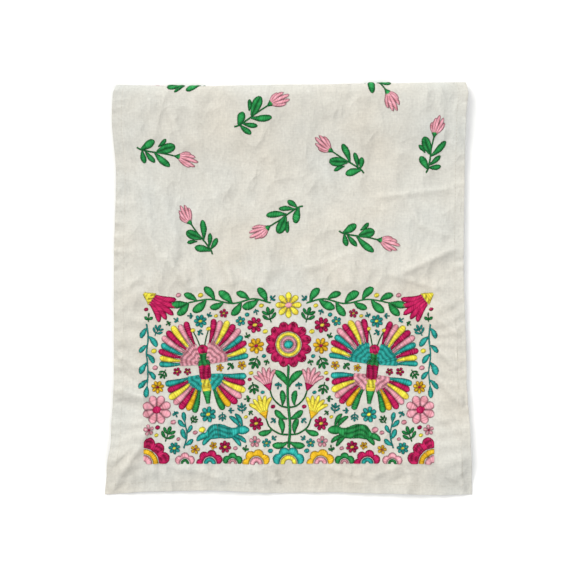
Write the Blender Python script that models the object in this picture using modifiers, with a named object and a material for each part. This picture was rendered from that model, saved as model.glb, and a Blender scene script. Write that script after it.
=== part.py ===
"""Folded embroidered table runner, as its one piece of hemmed cloth.

The runner is folded in half and in half again, and lies on its folds. The front layer is on top, with its
hem towards -Y. Metres, +Z up, origin on the surface under the middle of the folded bundle.
"""

import math

import bmesh
import bpy
import numpy as np

MM = 0.001

# Driving sizes of the cloth
WIDTH = 356 * MM
LENGTH = 1450 * MM
FRONT_HALF = 197.75 * MM
CLOTH_THICKNESS = 1.2 * MM
HEM_THICKNESS = 1.8 * MM
HEM_WIDTH = 11 * MM
HEM_LINE_INSIDE = 9.5 * MM
HEM_LINE_OUTSIDE = 12.1 * MM
LAYER_PITCH = 2.4 * MM

# Where the layers turn, measured along Y
OUTER_TURN_REACH = 11 * MM
INNER_TURN_Y = 184 * MM
NEAR_TURN_Y = -154 * MM
SMALL_TURN_REACH = 3.5 * MM
SWELL_RAMP = 70 * MM
HEM_DROOP_START = -158 * MM
HEM_DROOP_END = -196 * MM

# Mesh density
COLUMNS_INSIDE_HEMS = 24
OUTER_TURN_ROWS = 10
SMALL_TURN_ROWS = 8
SPINE_STEP = 0.5 * MM

# Layers in the order the cloth runs, each with its place in the stack counted from the surface, how far it
# swells up at the far and near folds, how far its edges stand in from the front layer's, and its mesh rows
LAYERS = (
    # name, place, far swell, near swell, inset left, inset right, rows
    ("front", 3, 5.0 * MM, 1.6 * MM, 0.0 * MM, 0.0 * MM, 32),
    ("bottom", 0, 0.0 * MM, 0.0 * MM, 1.5 * MM, 3.0 * MM, 12),
    ("lower", 1, 0.4 * MM, 1.6 * MM, 3.5 * MM, 1.5 * MM, 12),
    ("upper", 2, 2.0 * MM, 1.6 * MM, 2.0 * MM, 4.0 * MM, 12),
)

# Outline of the front layer: its left and right edges at stations along Y
SIDES = (
    # y, left, right
    (-198 * MM, -178.1 * MM, 178.0 * MM),
    (-178 * MM, -176.2 * MM, 177.2 * MM),
    (-144 * MM, -171.4 * MM, 175.4 * MM),
    (-86 * MM, -168.5 * MM, 171.8 * MM),
    (29 * MM, -168.5 * MM, 168.9 * MM),
    (110 * MM, -166.6 * MM, 169.9 * MM),
    (167 * MM, -170.4 * MM, 171.8 * MM),
    (188 * MM, -169.0 * MM, 174.8 * MM),
    (198 * MM, -164.6 * MM, 172.4 * MM),
)

# How far the fold's edge and the front hem stray from straight lines
FOLD_EDGE = (
    # x, shift
    (-170 * MM, -1.0 * MM),
    (-86 * MM, -2.1 * MM),
    (0 * MM, -0.8 * MM),
    (98 * MM, 0.7 * MM),
    (170 * MM, 1.6 * MM),
)
HEM_EDGE = (
    # x, shift, lift off the surface
    (-180 * MM, -1.4 * MM, 0.0 * MM),
    (-130 * MM, 0.3 * MM, 2.4 * MM),
    (-80 * MM, 1.2 * MM, 3.4 * MM),
    (-8 * MM, -0.8 * MM, 1.2 * MM),
    (40 * MM, 0.2 * MM, 3.0 * MM),
    (100 * MM, -1.0 * MM, 4.0 * MM),
    (145 * MM, -2.6 * MM, 1.8 * MM),
    (178 * MM, -1.6 * MM, 0.0 * MM),
)

# Soft ridges and troughs of the front layer, each along a line
CREASES = (
    # x1, y1, x2, y2, height, half width
    (-115 * MM, 178 * MM, -106 * MM, 140 * MM, 1.0 * MM, 12 * MM),
    (-125 * MM, 120 * MM, -112 * MM, 70 * MM, 1.3 * MM, 12 * MM),
    (-128 * MM, 34 * MM, -97 * MM, 0 * MM, 1.3 * MM, 11 * MM),
    (-67 * MM, 34 * MM, -60 * MM, 8 * MM, 1.0 * MM, 10 * MM),
    (115 * MM, 92 * MM, 129 * MM, 64 * MM, 1.0 * MM, 11 * MM),
    (168 * MM, 40 * MM, 112 * MM, 16 * MM, 1.6 * MM, 12 * MM),
    (140 * MM, -28 * MM, 162 * MM, -56 * MM, 1.5 * MM, 11 * MM),
    (141 * MM, -76 * MM, 166 * MM, -108 * MM, 1.5 * MM, 11 * MM),
    (-170 * MM, -46 * MM, -137 * MM, -58 * MM, 1.8 * MM, 11 * MM),
    (-170 * MM, -98 * MM, -142 * MM, -108 * MM, 1.5 * MM, 11 * MM),
    (-144 * MM, -137 * MM, -174 * MM, -192 * MM, 2.2 * MM, 13 * MM),
    (-4 * MM, -165 * MM, 8 * MM, -186 * MM, 1.4 * MM, 11 * MM),
    (77 * MM, -182 * MM, 104 * MM, -168 * MM, 1.3 * MM, 11 * MM),
    (132 * MM, -156 * MM, 170 * MM, -193 * MM, 1.6 * MM, 13 * MM),
)


def ease(t):
    """Smooth step from 0 to 1."""
    t = np.clip(t, 0.0, 1.0)
    return t * t * (3 - 2 * t)


def through(x, table, column):
    """Value of a table's column at x, eased from row to row."""
    stations = np.array([row[0] for row in table])
    values = np.array([row[column] for row in table])
    x = np.clip(x, stations[0], stations[-1])
    i = np.clip(np.searchsorted(stations, x, side="right") - 1, 0, len(stations) - 2)
    t = ease((x - stations[i]) / (stations[i + 1] - stations[i]))
    return values[i] + (values[i + 1] - values[i]) * t


def layer_height(layer, y):
    """Height of a layer's middle surface at y, with its swell towards both folds."""
    place_in_stack, far_swell, near_swell = layer[1:4]
    far = ease((y - (INNER_TURN_Y - SWELL_RAMP)) / SWELL_RAMP)
    near = ease(((NEAR_TURN_Y + SWELL_RAMP) - y) / SWELL_RAMP)
    rest = CLOTH_THICKNESS / 2 + place_in_stack * LAYER_PITCH
    return rest + far_swell * far + near_swell * near


def run_points(layer, y_start, y_end):
    """Points (y, z, inset left, inset right, share of the front layer's creases) along one layer."""
    steps = round(abs(y_end - y_start) / SPINE_STEP)
    front = 1.0 if layer[0] == "front" else 0.0
    return [
        (y, float(layer_height(layer, y)), layer[4], layer[5], front)
        for y in np.linspace(y_start, y_end, steps)
    ]


def turn_points(layer_in, layer_out, y, reach):
    """Points round a fold from one layer to the next: a half ellipse whose nose is reach away from y."""
    z_in, z_out = float(layer_height(layer_in, y)), float(layer_height(layer_out, y))
    middle, half = (z_in + z_out) / 2, (z_in - z_out) / 2
    steps = round(math.pi * max(abs(half), abs(reach)) / SPINE_STEP)
    points = []
    for k in range(1, steps):
        t = k / steps
        angle = math.pi * t
        inset = [layer_in[c] + (layer_out[c] - layer_in[c]) * t for c in (4, 5)]
        front = 1 - t if layer_in[0] == "front" else 0.0
        points.append((y + reach * math.sin(angle), middle + half * math.cos(angle), *inset, front))
    return points


def spine():
    """The cloth's section from the front hem to the hidden end, and the distance along it where each part ends."""
    front, bottom, lower, upper = LAYERS
    outer_y = FRONT_HALF - OUTER_TURN_REACH
    parts = [
        run_points(front, -FRONT_HALF, outer_y),
        turn_points(front, bottom, outer_y, OUTER_TURN_REACH),
        run_points(bottom, outer_y, NEAR_TURN_Y),
        turn_points(bottom, lower, NEAR_TURN_Y, -SMALL_TURN_REACH),
        run_points(lower, NEAR_TURN_Y, INNER_TURN_Y),
        turn_points(lower, upper, INNER_TURN_Y, SMALL_TURN_REACH),
        run_points(upper, INNER_TURN_Y, -FRONT_HALF),
    ]
    points = np.array([p for part in parts for p in part])
    steps = np.hypot(np.diff(points[:, 0]), np.diff(points[:, 1]))
    along = np.concatenate([[0.0], np.cumsum(steps)])
    counts = np.cumsum([len(part) for part in parts])
    ends = [float(along[c - 1]) for c in counts[:-1]] + [LENGTH]
    return along, points, ends


def row_stations(ends):
    """Distances along the cloth where the mesh has a row, hem lines among them."""
    front, bottom, lower, upper = (layer[6] for layer in LAYERS)
    parts = (front, OUTER_TURN_ROWS, bottom, SMALL_TURN_ROWS, lower, SMALL_TURN_ROWS, upper)
    stations, start = [0.0, HEM_LINE_INSIDE, HEM_LINE_OUTSIDE], HEM_LINE_OUTSIDE
    last = LENGTH - HEM_LINE_OUTSIDE
    for count, end in zip(parts, ends):
        end = min(end, last)
        stations += list(np.linspace(start, end, count + 1)[1:])
        start = end
    return np.array(stations + [LENGTH - HEM_LINE_INSIDE, LENGTH])


def column_stations():
    """Distances across the cloth from its middle where the mesh has a column, hem lines among them."""
    half = WIDTH / 2
    outside, inside = half - HEM_LINE_OUTSIDE, half - HEM_LINE_INSIDE
    middle = np.linspace(-outside, outside, COLUMNS_INSIDE_HEMS + 1)
    return np.array([-half, -inside, *middle, inside, half])


def crease_height(x, y):
    """Sum of the soft ridges and troughs at x, y."""
    total = np.zeros_like(x)
    for x1, y1, x2, y2, height, half_width in CREASES:
        dx, dy = x2 - x1, y2 - y1
        t = np.clip(((x - x1) * dx + (y - y1) * dy) / (dx * dx + dy * dy), 0, 1)
        distance = np.hypot(x - (x1 + t * dx), y - (y1 + t * dy))
        total += height * np.exp(-((distance / half_width) ** 2) * 2)
    return total


def is_hem(u, s):
    """Whether a point of the flat cloth lies in its double-turned hem."""
    edge = np.minimum(WIDTH / 2 - np.abs(u), np.minimum(s, LENGTH - s))
    return edge < HEM_WIDTH


def place(u, s, along, points):
    """Where points of the flat cloth, u across and s along it, lie once it is folded."""
    y, z, inset_left, inset_right, front = (np.interp(s, along, points[:, c]) for c in range(5))
    left = through(y, SIDES, 1) + inset_left
    right = through(y, SIDES, 2) - inset_right
    x = left + (u / WIDTH + 0.5) * (right - left)
    thicker = np.where(is_hem(u, s), (HEM_THICKNESS - CLOTH_THICKNESS) / 2, 0.0)
    z = z + thicker

    droop = ease((y - HEM_DROOP_START) / (HEM_DROOP_END - HEM_DROOP_START)) * front
    rest = HEM_THICKNESS / 2 + through(x, HEM_EDGE, 2)
    z = z + (rest - z) * droop
    z = z + crease_height(x, y) * front * (1 - droop)

    y = y + through(x, FOLD_EDGE, 1) * ease(y / FRONT_HALF)
    y = y + through(x, HEM_EDGE, 1) * ease(-y / FRONT_HALF) * front
    return np.stack([x, y, z], axis=1)


def fabric(name, colour, roughness):
    material = bpy.data.materials.new(name)
    material.use_nodes = True
    shader = material.node_tree.nodes["Principled BSDF"]
    shader.inputs["Base Color"].default_value = (*colour, 1.0)
    shader.inputs["Roughness"].default_value = roughness
    shader.inputs["Metallic"].default_value = 0.0
    material.diffuse_color = (*colour, 1.0)
    return material


def folded_cloth(collection):
    """The runner's cloth: a grid laid along the folds, given its thickness and its thicker hems."""
    along, points, ends = spine()
    rows, columns = row_stations(ends), column_stations()

    mesh = bpy.data.meshes.new("runner_cloth")
    grid = bmesh.new()
    bmesh.ops.create_grid(grid, x_segments=len(columns) - 1, y_segments=len(rows) - 1, size=1.0)
    grid.to_mesh(mesh)
    grid.free()

    flat = np.array([v.co for v in mesh.vertices])
    u = columns[np.rint((flat[:, 0] + 1) / 2 * (len(columns) - 1)).astype(int)]
    s = rows[np.rint((flat[:, 1] + 1) / 2 * (len(rows) - 1)).astype(int)]
    mesh.vertices.foreach_set("co", place(u, s, along, points).ravel())
    mesh.update()

    cloth = bpy.data.objects.new("runner_cloth", mesh)
    collection.objects.link(cloth)
    hem = cloth.vertex_groups.new(name="hem")
    hem.add([int(i) for i in np.flatnonzero(is_hem(u, s))], 1.0, "REPLACE")

    shell = cloth.modifiers.new("thickness", "SOLIDIFY")
    shell.thickness = HEM_THICKNESS
    shell.offset = 0.0
    shell.use_even_offset = True
    shell.vertex_group = "hem"
    shell.thickness_vertex_group = CLOTH_THICKNESS / HEM_THICKNESS
    mesh.materials.append(fabric("undyed_cotton", (0.80, 0.77, 0.69), 0.9))
    mesh.shade_smooth()
    return cloth


def main():
    for old in list(bpy.data.objects):
        bpy.data.objects.remove(old, do_unlink=True)
    collection = bpy.data.collections.new("folded_embroidered_runner")
    bpy.context.scene.collection.children.link(collection)
    folded_cloth(collection)


main()
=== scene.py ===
import math

import bpy
import numpy as np
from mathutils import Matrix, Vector
from mathutils.kdtree import KDTree


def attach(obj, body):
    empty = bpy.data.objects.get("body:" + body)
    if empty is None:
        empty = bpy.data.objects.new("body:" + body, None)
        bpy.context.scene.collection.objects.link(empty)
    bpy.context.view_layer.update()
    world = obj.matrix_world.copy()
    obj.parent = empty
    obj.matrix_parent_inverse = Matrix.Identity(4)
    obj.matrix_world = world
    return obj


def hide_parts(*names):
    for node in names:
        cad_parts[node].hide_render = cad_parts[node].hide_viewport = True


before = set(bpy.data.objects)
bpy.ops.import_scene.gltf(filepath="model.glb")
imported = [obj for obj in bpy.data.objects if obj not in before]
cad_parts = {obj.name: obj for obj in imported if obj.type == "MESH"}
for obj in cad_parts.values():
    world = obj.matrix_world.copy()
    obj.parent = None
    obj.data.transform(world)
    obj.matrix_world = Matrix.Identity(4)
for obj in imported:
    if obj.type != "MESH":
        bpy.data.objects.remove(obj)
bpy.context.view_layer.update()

MM = 0.001

# Surface, light and camera
# A plain white table top under soft daylight from the side of the fold. The camera hangs straight above,
# as in the photograph, whose 580 pixels take in 560 mm of the table.

VIEW_ACROSS = 560.0 * MM
VIEW_CENTRE = (1.4 * MM, -1.0 * MM)
LENS = 85.0
SENSOR = 36.0
CLOTH_TOP = 8 * MM
TABLE_HALF = 4
TABLE_WHITE = (0.97, 0.97, 0.97, 1.0)
TABLE_ROUGHNESS = 0.75
ROOM_COLOUR = (1.0, 0.985, 0.96, 1.0)
ROOM_STRENGTH = 0.30
LAMPS = (
    # name, place, size, watts, colour; each lamp is square and faces the middle of the cloth
    ("window", (-3.75, 3.70, 5.20), 4.2, 420, (1.0, 0.982, 0.945)),
    ("far_wall", (0.3, 3.6, 0.6), 2.4, 66, (0.88, 0.95, 1.0)),
    ("room_fill", (0.5, -0.85, 1.8), 2.2, 26.5, (0.975, 0.985, 0.985)),
)

link = bpy.context.scene.collection.objects.link
white = bpy.data.materials.new("white_table_top")
white.use_nodes = True
shader = white.node_tree.nodes["Principled BSDF"]
shader.inputs["Base Color"].default_value = TABLE_WHITE
shader.inputs["Roughness"].default_value = TABLE_ROUGHNESS
table_corners = [(x * TABLE_HALF, y * TABLE_HALF, 0) for x, y in ((-1, -1), (1, -1), (1, 1), (-1, 1))]
floor_mesh = bpy.data.meshes.new("table_top")
floor_mesh.from_pydata(table_corners, [], [(0, 1, 2, 3)])
floor_mesh.materials.append(white)
floor = bpy.data.objects.new("table_top", floor_mesh)
link(floor)

world = bpy.data.worlds.new("soft_room")
world.use_nodes = True
background = world.node_tree.nodes["Background"]
background.inputs["Color"].default_value = ROOM_COLOUR
background.inputs["Strength"].default_value = ROOM_STRENGTH
bpy.context.scene.world = world
for name, place, size, watts, colour in LAMPS:
    light = bpy.data.lights.new(name, "AREA")
    light.shape = "SQUARE"
    light.size = size
    light.energy = watts
    light.color = colour
    lamp = bpy.data.objects.new(name, light)
    lamp.location = place
    lamp.rotation_euler = Vector(place).to_track_quat("Z", "Y").to_euler()
    link(lamp)

camera_data = bpy.data.cameras.new("overhead")
camera_data.lens = LENS
camera_data.sensor_width = SENSOR
camera_data.sensor_fit = "HORIZONTAL"
camera = bpy.data.objects.new("overhead", camera_data)
camera.location = (*VIEW_CENTRE, CLOTH_TOP + VIEW_ACROSS * LENS / SENSOR)
link(camera)
bpy.context.scene.camera = camera
bpy.context.scene.view_settings.view_transform = "Standard"

# The cloth
# One length of undyed plain-woven cotton with a double-turned hem round all four sides, folded in half and in
# half again. It lies on its folds, a little creased, and drawn in where the hems and the panel are stitched.

WIDTH = 356 * MM
LENGTH = 1450 * MM
FRONT_HALF = 197.75 * MM
SOLID_THICKNESS = 1.2 * MM
SOLID_HEM = 1.8 * MM
CLOTH_THICKNESS = 0.7 * MM
HEM_THICKNESS = 0.85 * MM
HEM_LINE = 11.2 * MM
TOUCHING = HEM_THICKNESS / 2 + 0.05 * MM
LAYER_PITCH = 2.4 * MM
OUTER_TURN_REACH = 11 * MM
INNER_TURN_Y = 184 * MM
NEAR_TURN_Y = -154 * MM
SMALL_TURN_REACH = 3.5 * MM
SWELL_RAMP = 70 * MM
HEM_DROOP_START = -158 * MM
HEM_DROOP_END = -196 * MM
FOLD_CALM_START = 376 * MM
FOLD_CALM_SPAN = 22 * MM
SPINE_STEP = 0.5 * MM
PANEL_CENTRE = (0.0, -85.5)
PANEL_HALF = (141.0, 83.0)

LAYERS = (
    # name, place, far swell, near swell, inset left, inset right, rows
    ("front", 3, 5.0 * MM, 1.6 * MM, 0.0 * MM, 0.0 * MM, 226),
    ("bottom", 0, 0.0 * MM, 0.0 * MM, 1.5 * MM, 3.0 * MM, 30),
    ("lower", 1, 0.4 * MM, 1.6 * MM, 3.5 * MM, 1.5 * MM, 16),
    ("upper", 2, 2.0 * MM, 1.6 * MM, 2.0 * MM, 4.0 * MM, 16),
)
OUTER_TURN_ROWS = 22
SMALL_TURN_ROWS = 10
SIDES = (
    # y, left, right, in mm
    (-198, -178.1, 178.0),
    (-178, -176.2, 177.2),
    (-144, -171.4, 175.4),
    (-86, -168.5, 171.8),
    (29, -168.5, 168.9),
    (110, -166.6, 169.9),
    (167, -170.2, 170.9),
    (188, -169.2, 173.0),
    (198, -167.0, 172.2),
)
FOLD_EDGE = (
    # x, shift, in mm
    (-170, -1.0),
    (-86, -2.1),
    (0, -0.8),
    (98, 0.7),
    (170, 1.6),
)
HEM_EDGE = (
    # x, shift, lift off the surface, in mm
    (-180, -1.4, 0.0),
    (-130, 1.6, 2.4),
    (-80, 2.9, 3.4),
    (-8, 0.2, 1.2),
    (40, 0.9, 3.0),
    (100, -0.4, 4.0),
    (145, -1.8, 1.8),
    (178, -1.6, 0.0),
)
# Soft ridges and troughs that the solid has too
CREASES = (
    # x1, y1, x2, y2, height, half width, in mm
    (-115, 178, -106, 140, 1.0, 12),
    (-125, 120, -112, 70, 1.3, 12),
    (-128, 34, -97, 0, 1.3, 11),
    (-67, 34, -60, 8, 1.0, 10),
    (115, 92, 129, 64, 1.0, 11),
    (168, 40, 112, 16, 1.6, 12),
    (140, -28, 162, -56, 1.5, 11),
    (141, -76, 166, -108, 1.5, 11),
    (-170, -46, -137, -58, 1.8, 11),
    (-170, -98, -142, -108, 1.5, 11),
    (-144, -137, -174, -192, 2.2, 13),
    (-4, -165, 8, -186, 1.4, 11),
    (77, -182, 104, -168, 1.3, 11),
    (132, -156, 170, -193, 1.6, 13),
)
# Finer creases, pressed or pulled into the front layer only
FINE_CREASES = (
    # x1, y1, x2, y2, height, half width, in mm
    (-126, 31, -98, 1, 1.0, 4),
    (-66, 31, -59, 6, 0.8, 4),
    (-154, 118, -138, 40, 0.6, 6),
    (-134, 96, -112, 34, 0.6, 5),
    (-114, 52, -92, 16, 0.6, 4),
    (-98, 186, -90, 118, 0.5, 6),
    (-120, 176, -108, 140, 0.6, 5),
    (-140, 182, -136, 150, 0.7, 5),
    (-84, 110, -66, 60, 0.5, 5),
    (-56, 20, -30, -2, 0.6, 4),
    (167, 38, 116, 16, 0.9, 4),
    (91, 89, 162, 96, 0.7, 4),
    (117, 89, 130, 67, 0.8, 4),
    (134, 62, 160, 52, 0.5, 4),
    (104, 14, 148, 2, 0.8, 4),
    (143, -22, 170, -44, 1.2, 4),
    (143, -52, 166, -74, 1.2, 4),
    (143, -77, 170, -109, 1.3, 4),
    (150, -120, 172, -140, 0.8, 4),
    (-170, -57, -138, -71, -1.6, 3.5),
    (-170, -66, -144, -80, 1.3, 4),
    (-170, -81, -146, -92, -1.3, 3.5),
    (-170, -96, -148, -106, 1.2, 4),
    (-170, -108, -150, -115, -1.3, 3.5),
    (-142, -138, -171, -192, 1.1, 5),
    (-150, -150, -176, -178, -0.7, 4),
    (-18, -168, -13, -184, 1.5, 3),
    (-14, -176, -3, -187, -1.4, 3),
    (-34, -170, -24, -186, 0.7, 5),
    (79, -183, 104, -170, 0.7, 4),
    (136, -159, 170, -188, 1.0, 4),
    (118, -172, 134, -190, -0.6, 4),
    (40, -172, 66, -180, 0.6, 4),
    (-100, -174, -62, -186, 0.7, 5),
    (-128, -172, -104, -182, -0.5, 4),
    (20, 20, 60, 34, 0.5, 5),
    (-20, 110, 10, 60, 0.45, 6),
    (60, 176, 80, 140, 0.5, 6),
    (156, 150, 140, 110, 0.6, 5),
    (146, -2, 164, -16, 0.8, 4),
    (150, -88, 168, -92, 0.7, 4),
    (-60, -176, -48, -190, 0.7, 4),
    (60, -186, 78, -192, 0.6, 3),
    (100, -186, 118, -178, -0.6, 4),
    (30, 120, 44, 90, 0.4, 5),
)
# Nets of fine creases that run along a lattice's lines
CREASE_LINES = (
    # cell across, cell along, line width, height, seed, in mm
    (26, 120, 0.20, 0.85, 31),
    (19, 22, 0.24, 0.50, 32),
    (44, 58, 0.12, 0.80, 33),
    (12, 60, 0.28, 0.36, 34),
)
# Puckers of the stitched hems, and ripples where the dense panel draws in the cloth round it, in mm
SIDE_PUCKERS = 1.5
SIDE_PUCKER_REACH = 9.5
END_PUCKERS = 0.45
END_PUCKER_REACH = 9.0
RIPPLE_HEIGHT = 1.15
RIPPLE_LENGTH = 15
RIPPLE_RISE = 5
RIPPLE_REACH = 24
FINE_CREASE_GAIN = 2.4
DEEPEST_HOLLOW = 1.5
FRONT_SPAN = 400 * MM
HIDDEN_CALM = 0.88
LATTICE = 96
LATTICE_START = 40


def ease(t):
    """Smooth step from 0 to 1."""
    t = np.clip(t, 0.0, 1.0)
    return t * t * (3 - 2 * t)


def through(x, table, column):
    """Value of a table's column at x, eased from row to row."""
    marks, values = np.array([(row[0], row[column]) for row in table]).T * MM
    x = np.clip(x, marks[0], marks[-1])
    i = np.clip(np.searchsorted(marks, x, side="right") - 1, 0, len(marks) - 2)
    t = ease((x - marks[i]) / (marks[i + 1] - marks[i]))
    return values[i] + (values[i + 1] - values[i]) * t


def layer_height(layer, y):
    """Height of a layer's middle surface at y, with its swell towards both folds."""
    place_in_stack, far_swell, near_swell = layer[1:4]
    far = ease((y - (INNER_TURN_Y - SWELL_RAMP)) / SWELL_RAMP)
    near = ease(((NEAR_TURN_Y + SWELL_RAMP) - y) / SWELL_RAMP)
    rest = SOLID_THICKNESS / 2 + place_in_stack * LAYER_PITCH
    return rest + far_swell * far + near_swell * near


def run_points(layer, y_start, y_end):
    """Points (y, z, inset left, inset right, share of the front layer's creases) along one layer."""
    steps = round(abs(y_end - y_start) / SPINE_STEP)
    front = 1.0 if layer[0] == "front" else 0.0
    return [
        (y, float(layer_height(layer, y)), layer[4], layer[5], front)
        for y in np.linspace(y_start, y_end, steps)
    ]


def turn_points(layer_in, layer_out, y, reach):
    """Points round a fold from one layer to the next: a half ellipse whose nose is reach away from y."""
    z_in, z_out = float(layer_height(layer_in, y)), float(layer_height(layer_out, y))
    middle, half = (z_in + z_out) / 2, (z_in - z_out) / 2
    steps = round(math.pi * max(abs(half), abs(reach)) / SPINE_STEP)
    points = []
    for k in range(1, steps):
        t = k / steps
        angle = math.pi * t
        inset = [layer_in[c] + (layer_out[c] - layer_in[c]) * t for c in (4, 5)]
        front = 1 - t if layer_in[0] == "front" else 0.0
        points.append((y + reach * math.sin(angle), middle + half * math.cos(angle), *inset, front))
    return points


def spine():
    """The cloth's section from the front hem to the hidden end, and how far along it each part ends."""
    front, bottom, lower, upper = LAYERS
    outer_y = FRONT_HALF - OUTER_TURN_REACH
    parts = [
        run_points(front, -FRONT_HALF, outer_y),
        turn_points(front, bottom, outer_y, OUTER_TURN_REACH),
        run_points(bottom, outer_y, NEAR_TURN_Y),
        turn_points(bottom, lower, NEAR_TURN_Y, -SMALL_TURN_REACH),
        run_points(lower, NEAR_TURN_Y, INNER_TURN_Y),
        turn_points(lower, upper, INNER_TURN_Y, SMALL_TURN_REACH),
        run_points(upper, INNER_TURN_Y, -FRONT_HALF),
    ]
    points = np.array([p for part in parts for p in part])
    steps = np.hypot(np.diff(points[:, 0]), np.diff(points[:, 1]))
    along = np.concatenate([[0.0], np.cumsum(steps)])
    counts = np.cumsum([len(part) for part in parts])
    ends = [float(along[c - 1]) for c in counts[:-1]] + [LENGTH]
    return along, points, ends


def ridge_sum(x, y, table, unit):
    """Sum of the soft ridges and troughs of a table at x, y."""
    total = np.zeros_like(x)
    for x1, y1, x2, y2, height, half_width in np.array(table) * unit:
        dx, dy = x2 - x1, y2 - y1
        t = np.clip(((x - x1) * dx + (y - y1) * dy) / (dx * dx + dy * dy), 0, 1)
        distance = np.hypot(x - (x1 + t * dx), y - (y1 + t * dy))
        total += height * np.exp(-((distance / half_width) ** 2) * 2)
    return total


def crumple(x, y, cell, seed):
    """Smooth random heights from -1 to 1 on a lattice of that cell."""
    lattice = np.random.default_rng(seed).uniform(-1, 1, (LATTICE, LATTICE))
    gx, gy = x / cell + LATTICE_START, y / cell + LATTICE_START
    ix, iy = np.floor(gx).astype(int), np.floor(gy).astype(int)
    tx, ty = ease(gx - ix), ease(gy - iy)
    ix, iy = ix % LATTICE, iy % LATTICE
    jx, jy = (ix + 1) % LATTICE, (iy + 1) % LATTICE
    low = lattice[ix, iy] + (lattice[jx, iy] - lattice[ix, iy]) * tx
    high = lattice[ix, jy] + (lattice[jx, jy] - lattice[ix, jy]) * tx
    return low + (high - low) * ty


def relief(u, s):
    """Fine height of the cloth above its smooth folds: hem puckers, crumples and the draw of the panel."""
    x, y = u / MM, (s - FRONT_HALF) / MM
    side, end = (WIDTH / 2 - np.abs(u)) / MM, np.minimum(s, LENGTH - s) / MM
    front = (s < FRONT_SPAN).astype(float)
    strength = (1.0 + 0.6 * crumple(x * 0.1, y, 26, 4)) * np.where(u < 0, 1.0, 0.6)
    at_side, at_end = np.exp(-((side / SIDE_PUCKER_REACH) ** 2)), np.exp(-((end / END_PUCKER_REACH) ** 2))
    puckers = crumple(x * 0.12, y, 4.6, 3) * SIDE_PUCKERS * strength * at_side
    puckers += crumple(x, y * 0.12, 5.2, 13) * END_PUCKERS * at_end
    px, py = np.abs(x - PANEL_CENTRE[0]) - PANEL_HALF[0], np.abs(y - PANEL_CENTRE[1]) - PANEL_HALF[1]
    outside = np.hypot(np.maximum(px, 0), np.maximum(py, 0))
    round_panel = np.where(px > py, y, x)
    draw = np.sin(round_panel * 2 * math.pi / RIPPLE_LENGTH + 4 * crumple(x, y, 30, 5)) * (outside > 0)
    strain = np.exp(-outside / RIPPLE_REACH) * (1 - np.exp(-((outside / RIPPLE_RISE) ** 2))) * front
    puckers += draw * RIPPLE_HEIGHT * strain
    # Crumples, each with its height in front and the cell and seed of its lattice behind, in mm
    soft = 0.60 * crumple(x, y, 62, 7) + 0.48 * crumple(x, y, 31, 8)
    soft += 0.50 * crumple(x + 0.2 * y, y * 0.7, 15, 14)
    folded = 0.46 * (1 - 2 * np.abs(crumple(x, y, 44, 9)))
    folded += 0.36 * (1 - 2 * np.abs(crumple(x + 7, y, 23, 10)))
    net = np.zeros_like(x)
    lean = x + 0.22 * y
    for cell_x, cell_y, line, high, seed in CREASE_LINES:
        field = crumple(lean, y * cell_x / cell_y, cell_x, seed)
        strong = ease(0.42 + 1.1 * crumple(x, y, 34, seed + 40))
        net += high * strong * np.exp(-((field / line) ** 2))
    fine = 0.22 * crumple(x, y, 11, 11) + 0.10 * crumple(x, y, 6, 12)
    inner = 1 - 0.5 * np.exp(-((side / 12) ** 2))
    height = puckers + (soft + folded + net) * inner * (0.95 + 1.5 * strain) + fine
    height += ridge_sum(x, y, FINE_CREASES, 1.0) * FINE_CREASE_GAIN * front
    height = np.where(height < 0, DEEPEST_HOLLOW * np.tanh(height / DEEPEST_HOLLOW), height)
    hidden = ease((s - FOLD_CALM_START) / FOLD_CALM_SPAN)
    return height * MM * (1 - HIDDEN_CALM * hidden)


def smooth_place(u, s):
    """Where points of the flat cloth, u across and s along it, lie on the smooth folds of the runner."""
    y, z, inset_left, inset_right, front = (np.interp(s, ALONG, SPINE[:, c]) for c in range(5))
    left = through(y, SIDES, 1) + inset_left
    right = through(y, SIDES, 2) - inset_right
    x = left + (u / WIDTH + 0.5) * (right - left)
    droop = ease((y - HEM_DROOP_START) / (HEM_DROOP_END - HEM_DROOP_START)) * front
    rest = SOLID_HEM / 2 + through(x, HEM_EDGE, 2)
    z = z + (rest - z) * droop
    z = z + ridge_sum(x, y, CREASES, MM) * front * (1 - droop)
    y = y + through(x, FOLD_EDGE, 1) * ease(y / FRONT_HALF)
    y = y + through(x, HEM_EDGE, 1) * ease(-y / FRONT_HALF) * front
    return np.stack([x, y, z], axis=1)


def lay(u, s, lift):
    """Where points of the flat cloth lie, lifted off its middle surface towards its right side."""
    step = 1.0 * MM
    across = smooth_place(u + step, s) - smooth_place(u - step, s)
    onward = smooth_place(u, s + step) - smooth_place(u, s - step)
    normal = np.cross(across, onward)
    normal /= np.linalg.norm(normal, axis=1)[:, None]
    place = smooth_place(u, s) + normal * relief(u, s)[:, None]
    place[:, 2] = np.maximum(place[:, 2], TOUCHING)
    return place + normal * lift[:, None]


def stations(length, hem_marks, counts_and_ends):
    """Distances with hem marks at both ends and even steps between."""
    found, start = list(hem_marks), hem_marks[-1]
    for count, end in counts_and_ends:
        end = min(end, length - hem_marks[-1])
        found += list(np.linspace(start, end, count + 1)[1:])
        start = end
    return np.array(found + [length - m for m in reversed(hem_marks[:-1])])


ALONG, SPINE, ENDS = spine()
HEM_MARKS = [0.0, 0.5 * MM, 2.6 * MM, 5.2 * MM, 7.8 * MM, 10.2 * MM, HEM_LINE, 12.4 * MM]
SIDE_BAND = 26 * MM
SIDE_COLUMNS = 6
MIDDLE_COLUMNS = 100
HEM_RAISED = 0.03 * MM
PROUD_REACH = 4 * MM
PROUD_FULL = 0.16 * MM

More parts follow.
